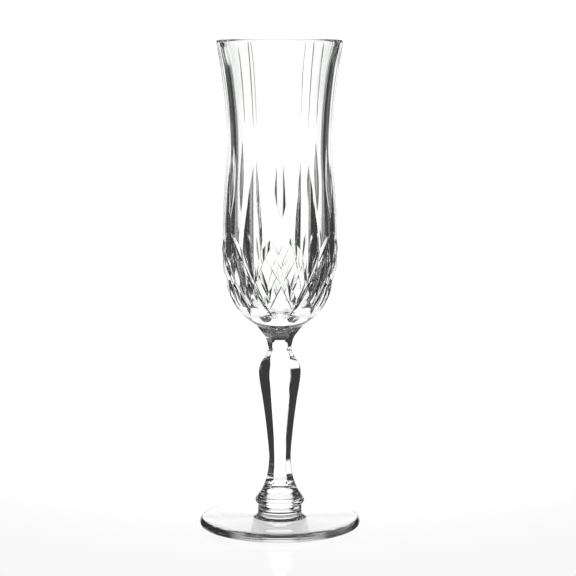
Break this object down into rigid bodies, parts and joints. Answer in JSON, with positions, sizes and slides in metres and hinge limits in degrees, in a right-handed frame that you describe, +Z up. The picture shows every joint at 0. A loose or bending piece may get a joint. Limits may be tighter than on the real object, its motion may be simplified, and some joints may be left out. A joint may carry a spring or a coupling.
{
  "type": "champagne flute",
  "caption": "Tall pressed crystalline glass champagne flute with a leaf and diamond cut bowl, a six-sided baluster stem and a round foot.",
  "frame": {"origin": "centre of the foot's underside, on the table", "axes": "+Z up along the stem to the lip, -Y towards the viewer of the front leaf cut"},
  "size_m": [0.0708, 0.0708, 0.212],
  "materials": {
    "glass": "polished"
  },
  "bodies": {
    "root": {"bowl": "glass", "stem": "glass", "foot": "glass"}
  },
  "joints": []
}
